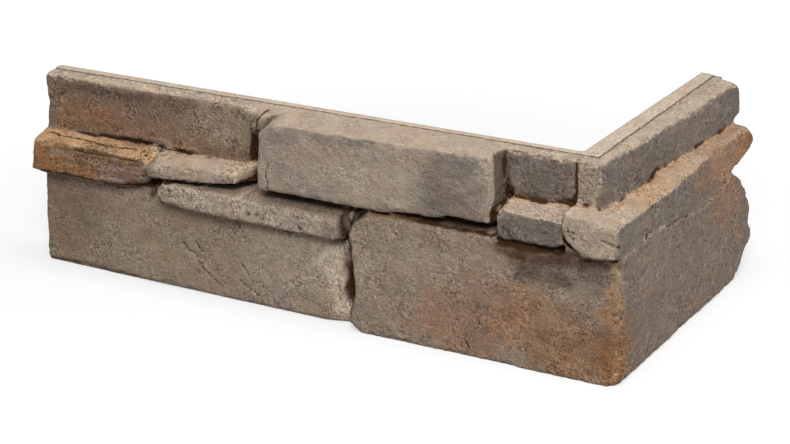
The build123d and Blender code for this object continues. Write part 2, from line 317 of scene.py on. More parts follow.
# Pits by their pigment: the middle, radius and depth of each
PITS = {
    "umber": (((-245.2, -41, 74.6), 1.9, 1.4), ((-237.7, -41, 75.2), 1.7, 1.2),
              ((-233.2, -41, 72.6), 1.6, 1.2), ((8.8, -42, 107), 1.6, 1.1),
              ((12.4, -42, 106.6), 1.4, 1.0), ((10.3, -42, 104), 1.5, 1.0),
              ((12.6, -42, 102.3), 1.4, 1.0), ((-268, -40, 95), 2.0, 1.2),
              ((-264, -40, 92.5), 1.8, 1.2), ((-261.5, -40, 96), 1.8, 1.0)),
    "chalk": (((47, -41, 25.4), 1.9, 0.9), ((49, -39, 21), 2.4, 1.0),
              ((48, -40, 16), 1.8, 0.8), ((46, -40, 8.6), 2.2, 1.0),
              ((-86, -40, 98), 1.8, 0.8)),
    "soot": (((-337, -1, 149.5), 2.0, 0.7), ((-294, -1, 149.5), 1.8, 0.7),
             ((-278.5, -1, 149.5), 2.0, 0.7), ((-247.5, -1, 149.5), 1.6, 0.6),
             ((-268, -22, 121), 2.2, 1.0)),
    "brown": (((-439, -17, 127), 6.0, 2.4), ((-439, -20, 137), 4.0, 1.2)),
}
DENTS = [Dent(*pit, pigment) for pigment, pits in PITS.items() for pit in pits]

# Between the two long top stones, beside the thin stone and at the end of the ledge stone
FILLINGS = (
    Filling((-242, -12, 146), 19.0, 13.0),
    Filling((-331, -12, 103), 13.0, 9.0),
    Filling((-167, -14, 80), 15.0, 22.0),
    Filling((-155, -14, 86), 13.0, 23.0),
)

# The band's top beside the stone above it, and the right end of the tall stone at the left
PUSHES = (
    Push((1, -60, 103), (46, 68, 129), ((3, 2), (10, 4), (14, 7)), (0, 0, -4)),
    Push((-188, -45, -5), (-165, -22, 66), ((18, 5), (6, 2), (1, 8)), (3.5, 5, 0)),
)

# In the order they are laid in: pigment, middle, reach, strength and faces, if not the front
WASHES = [Wash(*row) for row in (
    ("soot", (-345, -22, 143), (100, 12, 9), 0.6),
    ("russet", (-388, -22, 120), (44, 12, 15), 0.45),
    ("rust", (-398, -22, 122), (34, 12, 13), 0.4),
    ("russet", (-335, -22, 113), (45, 12, 10), 0.45),
    ("plum", (-340, -22, 134), (24, 12, 8), 0.4),
    ("rust", (-427, -22, 110), (14, 12, 10), 0.4),
    ("clay", (-282, -22, 132), (34, 12, 18), 0.75),
    ("straw", (-312, -22, 106), (16, 12, 4), 0.6),
    ("slate", (-150, -40, 147), (100, 12, 7), 0.75),
    ("slate", (-78, -40, 124), (30, 12, 30), 0.75),
    ("slate", (-217, -40, 138), (22, 12, 10), 0.4),
    ("stone", (-146, -40, 114), (48, 12, 14), 0.6),
    ("rust", (-434, -44, 90), (18, 26, 17), 1.0, "all"),
    ("straw", (-352, -34, 104), (16, 16, 8), 0.5, "up"),
    ("soot", (-436, -44, 88), (12, 16, 13), 0.35),
    ("plum", (-362, -44, 90), (30, 12, 12), 0.75),
    ("stone", (-416, -46, 95), (9, 12, 4), 0.25),
    ("rust", (-400, -44, 82), (28, 12, 5), 0.55),
    ("slate", (-333, -42, 95), (6, 12, 9), 0.6, "all"),
    ("slate", (-177, -41, 75), (6, 12, 9), 0.6, "all"),
    ("slate", (-320, -41, 76), (9, 12, 7), 0.4, "all"),
    ("brown", (-420, -33, 42), (42, 12, 46), 0.55),
    ("stone", (-205, -34, 38), (62, 12, 40), 0.6),
    ("dun", (-190, -34, 12), (50, 12, 14), 0.6),
    ("russet", (-62, -42, 30), (52, 14, 34), 0.8),
    ("plum", (-57, -42, 24), (11, 14, 7), 0.45),
    ("russet", (-20, -42, 52), (36, 14, 18), 0.55),
    # These two darken the tall corner stone's upper face under the band and the lower chiselled
    # stone: partly its dark brown, partly painted shadow of the stones above.
    ("soot", (4, -42, 78), (42, 14, 17), 0.85),
    ("umber", (2, -40, 87), (54, 16, 6), 0.85, "all"),
    ("clay", (-295, -42, 96), (46, 12, 12), 0.4),
    ("dun", (24, -42, 108), (22, 12, 12), 0.35),
    # Dark gap at the left end of the lower thin stone, partly painted shadow beside it.
    ("umber", (-336, -38, 72), (5, 14, 7), 0.8, "all"),
    ("rust", (-4, -42, 34), (46, 14, 26), 0.35),
    ("rust", (22, -40, 18), (44, 16, 26), 0.62),
    ("rust", (45, -38, 20), (14, 24, 26), 0.75, "all"),
    ("straw", (43, -42, 66), (6, 12, 24), 0.45),
    ("rust", (42, -42, 44), (10, 14, 26), 0.6, "all"),
    ("straw", (-3, -42, 46), (10, 12, 9), 0.45),
    ("soot", (37, -42, 37), (7, 12, 9), 0.35),
    ("dun", (-32, -42, 11), (15, 12, 8), 0.55),
    ("soot", (16, -42, 40), (34, 14, 24), 0.22),
    ("ochre", (-97, -42, 78), (10, 12, 8), 0.25),
    ("russet", (47, 160, 76), (14, 34, 15), 0.6, "side"),
    ("slate", (47, -28, 66), (12, 22, 34), 0.6, "side"),
    ("dun", (47, 30, 70), (12, 26, 14), 0.35, "side"),
    ("russet", (46, 150, 100), (14, 66, 16), 0.9, "side"),
    ("rust", (46, 205, 104), (14, 26, 16), 0.8, "side"),
    ("rust", (40, 170, 117), (26, 50, 12), 0.55, "up"),
    ("straw", (36, 60, 117), (24, 70, 10), 0.5, "up"),
    ("dun", (30, 140, 137), (14, 50, 14), 0.35, "side"),
    ("dun", (47, 10, 104), (14, 40, 12), 0.35, "side"),
    ("straw", (46, 170, 100), (14, 50, 14), 0.3, "side"),
    ("dun", (12, -22, 134), (12, 12, 18), 0.8),
)]

# Laid over the darkening in the joints; some are painted shadow and painted light
LATE_WASHES = [Wash(*row) for row in (
    ("bare", (-176, -30, 46), (10, 14, 26), 1.0, "all"),
    ("bare", (-171, -30, 22), (8, 14, 20), 1.0, "all"),
    ("umber", (-168, -22, 40), (6, 8, 36), 1.0, "all"),
    # Painted shadow of the layered stone on the tall stone below it.
    ("umber", (-390, -36, 75.5), (56, 14, 3.5), 0.7),
    # Painted light: straw on the shadowed joint floor under the long top stone, lighter than the
    # shade there gives.
    ("straw", (-148, -14, 93), (140, 20, 14), 1.0),
    # Painted shade on the tall corner stone's top under the long top stone.
    ("umber", (-92, -24, 92), (54, 24, 6), 0.8, "up"),
    ("earth", (47, 14, 92), (9, 18, 9), 0.8, "all"),
    ("rust", (-140, -26, 92), (26, 24, 6), 0.8, "up"),
)]


@dataclass
class Lamp:
    """A soft lamp: its turn to the right and height in degrees, its distance and side in metres."""

    name: str
    azimuth: float
    elevation: float
    distance: float
    side: float


LAMPS = (
    Lamp("key", 28, 39, 3.0, 0.9),
    Lamp("overhead", 28, 80, 2.6, 1.8),
    Lamp("fill", 98, 22, 2.4, 1.2),
)

CAMERA_PLACE = (0.57916, -1.32057, 0.62854)
CAMERA_TURN = (69.748, 0, 28.781)
CAMERA_LENS = 101.53
CAMERA_SENSOR = 36.0


# Colours and sizes that a user may change

def pigment(name, description, colour):
    """A colour as it looks on a screen, each part from 0 to 1."""
    return bpy.props.FloatVectorProperty(
        name=name, description=description, default=colour, size=3, min=0, max=1,
        subtype="COLOR_GAMMA")


def length(name, description, default):
    """A length in metres."""
    return bpy.props.FloatProperty(name=name, description=description, default=default,
                                   subtype="DISTANCE", unit="LENGTH", precision=5)


def power(name, description, default):
    """A lamp's power in watts."""
    return bpy.props.FloatProperty(name=name, description=description, default=default,
                                   subtype="POWER", unit="POWER")


class STONE_PG_relief(bpy.types.PropertyGroup):
    """Sizes of the skin and of the relief it carries."""

    skin_spacing: length("Skin spacing", "Spacing of the even skin", 0.0014)
    easing_rounds: bpy.props.IntProperty(
        name="Easing rounds", description="Rounds of smoothing that ease the edges", default=2)
    wobble_height: length("Wobble height", "How far the stones' outlines wander", 0.0007)
    wobble_size: length("Wobble size", "Length of that wander", 0.014)
    ragged_height: length("Ragged height", "How far the outlines are frayed", 0.0006)
    ragged_size: length("Ragged size", "Length of the fraying", 0.0048)
    split_height: length("Split height", "Height of the split relief", 0.0008)
    split_size: length("Split size", "Spacing of the split relief", 0.011)
    grain_height: length("Grain height", "Height of the coarse grain", 0.00035)
    grain_size: length("Grain size", "Spacing of the coarse grain", 0.003)
    layer_height: length("Layer height", "Depth of the clefts in the layered stone", 0.0015)
    layer_size: length("Layer size", "Spacing of the layers", 0.0038)
    chisel_height: length("Chisel height", "Depth of the chisel marks", 0.0009)
    chisel_size: length("Chisel size", "Spacing of the chisel marks", 0.009)
    crease_depth: length("Crease depth", "Depth of the creases between stones", 0.0008)
    chip_depth: length("Chip depth", "Depth of the chips along the edges", 0.0032)
    chip_size: length("Chip size", "Spacing of the chips", 0.006)
    most_triangles: bpy.props.IntProperty(
        name="Most triangles", description="Triangles that the finished piece may have",
        default=196000)


class STONE_PG_pigments(bpy.types.PropertyGroup):
    """Pigments of the casting."""

    brown: pigment("Brown", "Face of the top stone at the left", (0.465, 0.387, 0.32))
    ash: pigment("Ash", "Grey face of the long top stone", (0.585, 0.525, 0.47))
    slate: pigment("Slate", "Dark grey faces and bands", (0.435, 0.395, 0.36))
    stone: pigment("Stone", "Light grey faces of the thin stones", (0.62, 0.565, 0.50))
    ochre: pigment("Ochre", "Brown of the layered stone", (0.48, 0.37, 0.27))
    clay: pigment("Clay", "Grey-brown of the tall stone at the left", (0.55, 0.483, 0.415))
    dun: pigment("Dun", "Grey-beige of the tall stone at the corner", (0.54, 0.48, 0.42))
    earth: pigment("Earth", "Brown-grey of its side", (0.48, 0.42, 0.37))
    russet: pigment("Russet", "Reddish-brown washes", (0.54, 0.42, 0.34))
    rust: pigment("Rust", "Orange-brown washes", (0.52, 0.365, 0.23))
    plum: pigment("Plum", "Purple-brown washes", (0.48, 0.39, 0.35))
    soot: pigment("Soot", "Dark brown washes", (0.33, 0.27, 0.23))
    sand: pigment("Sand", "Bare mix on tops and ends", (0.625, 0.56, 0.49))
    # Straw is also laid as painted bounce light on the ledge tops near the joints.
    straw: pigment("Straw", "Warm bare mix beside the joints", (0.64, 0.51, 0.38))
    bare: pigment("Bare", "Back layer and wall faces", (0.70, 0.635, 0.565))
    # Umber is also laid as painted shade in the hollows and under and along the feet of overhanging
    # stones.
    umber: pigment("Umber", "Stain in the joints", (0.23, 0.14, 0.07))
    # Peat darkens the recess as painted shade.
    peat: pigment("Peat", "Recess beside the chiselled stones", (0.39, 0.335, 0.29))
    chalk: pigment("Chalk", "Fresh chips", (0.80, 0.76, 0.69))


class STONE_PG_studio(bpy.types.PropertyGroup):
    """The studio round the piece."""

    floor: pigment("Floor", "Colour of the floor", (0.63, 0.63, 0.63))
    floor_reach: length("Floor reach", "Half the side of the floor", 4.0)
    floor_glow: bpy.props.FloatProperty(
        name="Floor glow", description="How pale the floor looks beside the piece", default=0.55)
    key_power: power("Key power", "The lamp that throws the shadows", 72.0)
    overhead_power: power("Overhead power", "The soft lamp above", 44.0)
    fill_power: power("Fill power", "The soft lamp at the right", 20.0)
    sky: bpy.props.FloatProperty(
        name="Sky", description="Strength of the even light from all round", default=0.15)


# Skin

def gamma_to_linear(colour):
    """A screen colour as light."""
    value = np.asarray(colour, float)
    return np.where(value <= 0.04045, value / 12.92, ((value + 0.055) / 1.055) ** 2.4)


def rise(low, high, value):
    """0 below low, 1 above high, and an even rise between; the limits may be swapped."""
    share = np.clip((value - low) / (high - low), 0, 1)
    return share * share * (3 - 2 * share)


def numbers_of(items, name, width, kind=np.float32):
    """What each of a mesh's items says under a name, as rows of numbers."""
    numbers = np.empty(len(items) * width, kind)
    items.foreach_get(name, numbers)
    return numbers.reshape(-1, width)


def points_of(mesh):
    """The mesh's points in metres."""
    return numbers_of(mesh.vertices, "co", 3).astype(float)


def normals_of(mesh):
    """The mesh's point normals."""
    return numbers_of(mesh.vertex_normals, "vector", 3).astype(float)


def edges_of(mesh):
    """Pairs of points that an edge joins."""
    return numbers_of(mesh.edges, "vertices", 2, np.int32)


def move_points(mesh, points):
    """Put the mesh's points where they are wanted."""
    mesh.vertices.foreach_set("co", points.astype(np.float32).ravel())
    mesh.update()


def keep_field(mesh, name, values):
    """Keep a number for each point of the mesh under a name."""
    field = mesh.attributes.get(name) or mesh.attributes.new(name, "FLOAT", "POINT")
    field.data.foreach_set("value", np.asarray(values, np.float32))


def field_of(mesh, name):
    """The number that the mesh keeps for each point under a name."""
    return numbers_of(mesh.attributes[name].data, "value", 1)[:, 0].astype(float)


def baked(piece):
    """Turn a piece and its modifiers into a plain mesh."""
    depsgraph = bpy.context.evaluated_depsgraph_get()
    mesh = bpy.data.meshes.new_from_object(piece.evaluated_get(depsgraph))
    piece.modifiers.clear()
    plain, piece.data = piece.data, mesh
    bpy.data.meshes.remove(plain)
    return piece


def placed(name, data):
    """A new object in the scene."""
    made = bpy.data.objects.new(name, data)
    bpy.context.scene.collection.objects.link(made)
    return made


def skin_of(node, spacing):
    """A copy of a node with its doubles merged and an even skin."""
    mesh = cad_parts[node].data.copy()
    mesh.materials.clear()
    shape = bmesh.new()
    shape.from_mesh(mesh)
    bmesh.ops.remove_doubles(shape, verts=shape.verts, dist=spacing / 100)
    bmesh.ops.recalc_face_normals(shape, faces=shape.faces)
    shape.to_mesh(mesh)
    shape.free()
    for attribute in [a.name for a in mesh.attributes if not a.is_required]:
        mesh.attributes.remove(mesh.attributes[attribute])
    piece = placed(PIECE, mesh)
    remesh = piece.modifiers.new("Even skin", "REMESH")
    remesh.mode = "VOXEL"
    remesh.voxel_size = spacing
    return baked(piece)


def averaged(values, edges, rounds, share=0.5):
    """Values for each point, smoothed along the edges."""
    values = np.asarray(values, float)
    rows = values.reshape(len(values), -1)
    count = len(rows)
    degree = np.bincount(edges.ravel(), minlength=count)[:, None]
    for _ in range(rounds):
        sums = np.empty_like(rows)
        for axis in range(rows.shape[1]):
            column = rows[:, axis]
            sums[:, axis] = (np.bincount(edges[:, 0], column[edges[:, 1]], count)
                             + np.bincount(edges[:, 1], column[edges[:, 0]], count))
        rows = rows + share * (sums / degree - rows)
    return rows.reshape(values.shape)


def inside(points, low, high):
    """The points inside a box in millimetres."""
    place = points / MM
    return np.all((place > low) & (place < high), axis=1)


def on_walls(points):
    """The points of the two wall faces."""
    x, y, _ = (points / MM).T
    return (y > -WALL_EDGE) & (x < WALL_EDGE)


def crisp_ends(points):
    """How near each point is to the moulded ends of the legs, which have few chips: 1 on them."""
    x, y, _ = (points / MM).T
    left, far = LEG_ENDS
    return np.maximum(rise(left + CRISP_END, left + CRISP_END / 2, x),
                      rise(far - CRISP_END, far - CRISP_END / 2, y))


def relief_mask(points, normals):
    """How rough each point is: 1 on the stones, little on the wall faces, the top and the base."""
    z = points[:, 2] / MM
    mask = np.ones(len(points))
    mask[(z > TOP_EDGE) & (normals[:, 2] > 0.7)] = TOP_ROUGHNESS
    mask[on_walls(points)] = WALL_ROUGHNESS
    mask[(z < 1) & (normals[:, 2] < -0.5)] = BASE_ROUGHNESS
    return mask


def on_leg(leg, points):
    """Along, up and out of each point on a leg in millimetres; on the tops, X, Y and height."""
    x, y, z = (points / MM).T
    return {LONG: (x, z, -y), SHORT: (y, z, x), TOP: (x, y, z)}[leg]


def outward(leg, normals):
    """How squarely each point faces away from the leg's wall, or up."""
    return {LONG: -normals[:, 1], SHORT: normals[:, 0], TOP: normals[:, 2]}[leg]


def line_distance(along, up, line):
    """Distance of each point from a line of (along, up) points."""
    nearest = np.full(len(along), np.inf)
    for (start, start_up), (end, end_up) in zip(line, line[1:]):
        run, climb = end - start, end_up - start_up
        share = ((along - start) * run + (up - start_up) * climb) / (run * run + climb * climb)
        share = np.clip(share, 0, 1)
        distance = np.hypot(along - start - share * run, up - start_up - share * climb)
        nearest = np.minimum(nearest, distance)
    return nearest


def wandering(points, size, height):
    """A smooth wander for each point, as a shift along X, Y and Z."""
    return height * np.array([noise.noise_vector(Vector(point) / size) for point in points])


def carve_cracks(points, normals):
    """Sink the cracks into the faces, and say how dark each point is made: the cracks' stains, and
    painted shadow along the feet of overhanging stones.
    """
    stain = np.zeros(len(points))
    for crack in CRACKS:
        along, up, out = on_leg(crack.leg, points)
        margin = 3 * crack.reach
        line = np.array(crack.line)
        low, high = line.min(0) - margin, line.max(0) + margin
        near = np.flatnonzero((along > low[0]) & (along < high[0]) & (up > low[1]) & (up < high[1])
                              & (out < crack.furthest) & (outward(crack.leg, normals) > FACING[0]))
        shift = wandering(points[near], *CRACK_WANDER)
        along, up, _ = on_leg(crack.leg, points[near] + shift)
        depth = np.clip(1 - line_distance(along, up, crack.line) / crack.reach, 0, 1)
        points[near] -= normals[near] * (depth * crack.depth * MM)[:, None]
        stain[near] = np.maximum(stain[near], depth * crack.stain)
    return stain


def distance_from(mark, points):
    """How far each point is from a mark's middle, by its radius."""
    return np.linalg.norm(points / MM - mark.middle, axis=1) / mark.radius


def press_dents(points, normals):
    """Press the pits into the faces."""
    for dent in DENTS:
        away = distance_from(dent, points)
        near = away < 1
        points[near] -= normals[near] * (dent.depth * (1 - away[near] ** 2) * MM)[:, None]


def fill_joints(points, normals, edges):
    """Bring the joints' floor out at the fillings, and say how much of each point is filling."""
    front = points[:, 1] < -FILL_BACK * MM
    facing = rise(0.3, 0.7, outward(LONG, normals)) * front
    height, share = np.zeros(len(points)), np.zeros(len(points))
    for filling in FILLINGS:
        away = distance_from(filling, points)
        height = np.maximum(height, filling.height * np.clip(1 - away ** 4, 0, 1))
        share = np.maximum(share, rise(1.25, 0.85, away) * front)
    points[:, 1] -= height * facing * MM
    points += share[:, None] * (averaged(points, edges, FILL_ROUNDS) - points)
    return share


def push_places(points):
    """Push the skin where the photo shows it lower or further back than the solid."""
    for push in PUSHES:
        share = np.ones(len(points))
        for axis in range(3):
            place, ease = points[:, axis] / MM, push.ease[axis]
            share *= rise(push.low[axis], push.low[axis] + ease[0], place)
            share *= rise(push.high[axis], push.high[axis] - ease[1], place)
        points += share[:, None] * np.array(push.shift) * MM


def inside_of(stone, points):
    """Which points belong to a stone."""
    held = inside(points, stone.low, stone.high)
    if stone.foot:
        along, up = np.array(stone.foot).T
        held &= points[:, 2] / MM > np.interp(points[:, 1] / MM, along, up)
    return held


def stone_field(points, edges, name):
    """One of the stones' numbers for each point, blended over their joints."""
    field = np.zeros(len(points))
    for stone in reversed(STONES):
        field[inside_of(stone, points)] = getattr(stone, name)
    return averaged(field, edges, BLEND_ROUNDS)


def seam_field(points):
    """How far in front of the seam each point lies, in metres; below 0 behind it."""
    x, y, _ = (points / MM).T
    (left, left_y), (corner, corner_y), (far, far_y) = SEAM
    long_line = left_y + (x - left) * (corner_y - left_y) / (corner - left)
    short_line = corner + (y - corner_y) * (far - corner) / (far_y - corner_y)
    return np.maximum(long_line - y, x - short_line) * MM


# Node trees

def add_node(tree, kind, inputs=None, **settings):
    """Add a node to a tree, set it, and link or fill its inputs."""
    made = tree.nodes.new(kind)
    for name, value in settings.items():
        setattr(made, name, value)
    for name, value in (inputs or {}).items():
        if isinstance(value, bpy.types.NodeSocket):
            tree.links.new(value, made.inputs[name])
        else:
            made.inputs[name].default_value = value
    return made


def maths(tree, operation, first, second=0.0, clamp=False):
    """One sum on one or two numbers."""
    return add_node(tree, "ShaderNodeMath", {0: first, 1: second}, operation=operation,
                    use_clamp=clamp).outputs[0]


def product(tree, *factors):
    """Numbers multiplied together."""
    result = factors[0]
    for factor in factors[1:]:
        result = maths(tree, "MULTIPLY", result, factor)
    return result


def total(tree, *terms):
    """Numbers added together."""
    result = terms[0]
    for term in terms[1:]:
        result = maths(tree, "ADD", result, term)
    return result


def rest(tree, *shares):
    """What is left of 1 when shares, multiplied together, are taken off."""
    return maths(tree, "SUBTRACT", 1.0, product(tree, *shares))


def swing(tree, value, height):
    """A value between 0 and 1 as a swing about 0, times a height."""
    return product(tree, maths(tree, "SUBTRACT", value, 0.5), 2.0, height)


def step_between(tree, value, low, high):
    """0 below low, 1 above high, and an even rise between."""
    return add_node(tree, "ShaderNodeMapRange",
                    {"Value": value, "From Min": low, "From Max": high},
                    interpolation_type="SMOOTHSTEP").outputs["Result"]


def scaled(tree, vector, scale):
    """A vector times a number."""
    return add_node(tree, "ShaderNodeVectorMath", {0: vector, "Scale": scale},
                    operation="SCALE").outputs[0]


def vectors(tree, operation, first, second):
    """One sum on two vectors."""
    return add_node(tree, "ShaderNodeVectorMath", {0: first, 1: second},
                    operation=operation).outputs[0]


def noise_at(tree, vector, scale, detail=2.0, roughness=0.5, output="Fac"):
    """Noise between 0 and 1."""
    return add_node(tree, "ShaderNodeTexNoise",
                    {"Vector": vector, "Scale": scale, "Detail": detail, "Roughness": roughness}
                    ).outputs[output]


def empty_tree(owner):
    """The node tree of a material or a world, cleared."""
    owner.use_nodes = True
    owner.node_tree.nodes.clear()
    return owner.node_tree


RELIEF_SIZES = [size for size in STONE_PG_relief.__annotations__
                if size.endswith(("height", "size", "chip_depth"))]


def spoken(size):
    """A size's name as people read it."""
    return size.replace("_", " ").capitalize()


def relief_tree():
    """The relief of the stones: frayed outlines, split surface, layers, chisel marks and chips."""
    tree = bpy.data.node_groups.new("Split stone relief", "GeometryNodeTree")
    face = tree.interface
    face.new_socket("Geometry", in_out="INPUT", socket_type="NodeSocketGeometry")
    for size in RELIEF_SIZES:
        face.new_socket(spoken(size), in_out="INPUT", socket_type="NodeSocketFloat")
    face.new_socket("Material", in_out="INPUT", socket_type="NodeSocketMaterial")
    face.new_socket("Geometry", in_out="OUTPUT", socket_type="NodeSocketGeometry")
    given = add_node(tree, "NodeGroupInput").outputs
    place = add_node(tree, "GeometryNodeInputPosition").outputs[0]
    normal = add_node(tree, "GeometryNodeInputNormal").outputs["Normal"]

    def kept(name):
        return add_node(tree, "GeometryNodeInputNamedAttribute", {"Name": name},
                        data_type="FLOAT").outputs["Attribute"]

    def spaced(name, vector=place, detail=2.0, roughness=0.5, output="Fac"):
        scale = maths(tree, "DIVIDE", 1.0, given[f"{name} size"])
        return noise_at(tree, vector, scale, detail, roughness, output)

    def wander(name):
        middle = vectors(tree, "SUBTRACT", spaced(name, output="Color"), (0.5, 0.5, 0.5))
        return scaled(tree, middle, product(tree, given[f"{name} height"], 2.0))

    split = spaced("Split", detail=4.0, roughness=0.55)
    layers = spaced("Layer", vectors(tree, "MULTIPLY", place, LAYER_SQUEEZE), 3.0, 0.6)
    clefts = maths(tree, "POWER", maths(tree, "SUBTRACT", 1.0, layers, True), 3.0)
    strokes = spaced("Chisel", vectors(tree, "MULTIPLY", place, STROKE_SQUEEZE), 2.0, 0.6)
    off_middle = maths(tree, "ABSOLUTE", maths(tree, "SUBTRACT", strokes, 0.5))
    creases = maths(tree, "SUBTRACT", 0.25, off_middle)
    chips = maths(tree, "SUBTRACT", spaced("Chip"), 0.48, True)
    sunk = total(tree, product(tree, clefts, 4.0, given["Layer height"], kept("layered")),
                 product(tree, creases, 4.0, given["Chisel height"], kept("chiselled")),
                 product(tree, chips, 4.0, given["Chip depth"], kept("edge")))
    raised = total(tree, swing(tree, split, given["Split height"]),
                   swing(tree, spaced("Grain", detail=1.0), given["Grain height"]))
    height = maths(tree, "SUBTRACT", raised, sunk)
    shift = vectors(tree, "ADD", scaled(tree, normal, height),
                    vectors(tree, "ADD", wander("Wobble"), wander("Ragged")))
    noted = add_node(tree, "GeometryNodeStoreNamedAttribute",
                     {"Geometry": given["Geometry"], "Name": "height", "Value": height},
                     data_type="FLOAT", domain="POINT")
    moved = add_node(tree, "GeometryNodeSetPosition",
                     {"Geometry": noted.outputs[0], "Offset": scaled(tree, shift, kept("relief"))})
    real = add_node(tree, "GeometryNodeRealizeInstances", {"Geometry": moved.outputs[0]})
    dressed = add_node(tree, "GeometryNodeSetMaterial",
                       {"Geometry": real.outputs[0], "Material": given["Material"]})
    add_node(tree, "NodeGroupOutput", {"Geometry": dressed.outputs[0]})
    return tree


def lay_relief(piece, sizes, material):
    """Give a piece the relief, as plain mesh."""
    modifier = piece.modifiers.new("Split relief", "NODES")
    modifier.node_group = relief_tree()
    wanted = {socket.name: socket.identifier for socket in modifier.node_group.interface.items_tree
              if socket.in_out == "INPUT"}
    modifier[wanted["Material"]] = material
    for size in RELIEF_SIZES:
        modifier[wanted[spoken(size)]] = getattr(sizes, size)
    return baked(piece)


def lighten(piece, most_triangles):
    """Bring a piece under its limit of triangles, thinning the wall faces and the base first."""
    triangles = sum(len(polygon.vertices) - 2 for polygon in piece.data.polygons)
    if triangles > most_triangles:
        points, normals = points_of(piece.data), normals_of(piece.data)
        flat = on_walls(points) | ((points[:, 2] < 2 * MM) & (normals[:, 2] < -0.9))
        piece.vertex_groups.new(name="flat").add(np.flatnonzero(flat).tolist(), 1.0, "REPLACE")
        thinner = piece.modifiers.new("Lighter", "DECIMATE")
        thinner.ratio = most_triangles / triangles
        thinner.vertex_group = "flat"
        baked(piece)
        piece.vertex_groups.clear()
    return piece


def inside_box(points):
    """Points that went past the casting's box, folded back inside it."""
    low, high = np.array(CAD_LOW), np.array(CAD_HIGH)
    points = np.where(points < low, 2 * low - points, points)
    points = np.where(points > high, 2 * high - points, points)
    return np.clip(points, low, high)


def hollowness(mesh, rays=20, reach=0.03, clearance=0.0008):
    """How closed in each point is: 0 in the open, 1 deep in a joint."""
    points, normals = points_of(mesh), normals_of(mesh)
    mesh.calc_loop_triangles()
    faces = numbers_of(mesh.loop_triangles, "vertices", 3, np.int32)
    tree = BVHTree.FromPolygons(points.tolist(), faces.tolist())
    upright = np.abs(normals[:, 2:]) < 0.9
    side = np.cross(normals, np.where(upright, (0.0, 0.0, 1.0), (1.0, 0.0, 0.0)))
    side /= np.linalg.norm(side, axis=1)[:, None]
    other = np.cross(normals, side)
    golden = math.pi * (3 - math.sqrt(5))
    closed = np.zeros(len(points))
    tested = np.flatnonzero(~on_walls(points))
    starts = [Vector(point) for point in (points + normals * clearance)[tested]]
    for ray in range(rays):
        lean = math.sqrt((ray + 0.5) / rays)
        turn = ray * golden
        ways = (side * lean * math.cos(turn) + other * lean * math.sin(turn)
                + normals * math.sqrt(1 - lean * lean))[tested]
        for index, start, way in zip(tested, starts, ways):
            hit = tree.ray_cast(start, way, reach)[3]
            if hit is not None:
                closed[index] += 1 - hit / reach
    return averaged(closed / rays, edges_of(mesh), 2)


# Colour

def mixed(tint, colour, weight):
    """The tint of each point, with a colour over it by its weight."""
    return tint + (colour - tint) * weight[:, None]


def floor_stain(points, normals):
    """How much of the joints' dark floor each point shows: 1 on the floor, 0 on the stones."""
    x, y, z = (points / MM).T
    floor = np.where(z > LOW_JOINT_TOP, JOINT_FLOOR, LOW_JOINT_FLOOR)
    on_long = rise(*LONG_STAIN, -y - floor)
    on_short = rise(*SHORT_STAIN, x - SHORT_JOINT_FLOOR)
    on_long *= rise(*FACING, outward(LONG, normals))
    on_short *= rise(*FACING, outward(SHORT, normals))
    on_long *= (y < -WALL_EDGE) & (z < TOP_EDGE)
    on_short *= (x > WALL_EDGE) & (y > 0) & (y < LEG_ENDS[1] - CRISP_END)
    return np.maximum(on_long, on_short)


def stone_tint(stone, colours, normals, rough):
    """A stone's own colour by the way each point looks; rough breaks up the borders."""
    tint = np.tile(colours[stone.front], (len(normals), 1))
    tint = mixed(tint, colours[stone.side], rise(0.3, 0.55, normals[:, 0] + 0.1 * rough))
    return mixed(tint, colours[stone.top], rise(0.45, 0.75, normals[:, 2] + 0.28 * rough))


def looking(faces, normals):
    """How far each point looks the way that a wash needs."""
    if faces == "all":
        return np.ones(len(normals))
    leg = {"front": LONG, "side": SHORT, "up": TOP}[faces]
    return rise(0.35, 0.65, outward(leg, normals))


def wash_weight(wash, points, normals, wander, rough):
    """How strongly a wash covers each point; small washes wander less."""
    place = points / MM + wander * min(1.0, min(wash.reach) / STEADY_REACH)
    away = np.linalg.norm((place - wash.middle) / wash.reach, axis=1)
    weight = wash.strength * rise(*WASH_EDGE, away) * looking(wash.faces, normals)
    return np.clip(weight * (1 + 0.3 * rough), 0, 1)


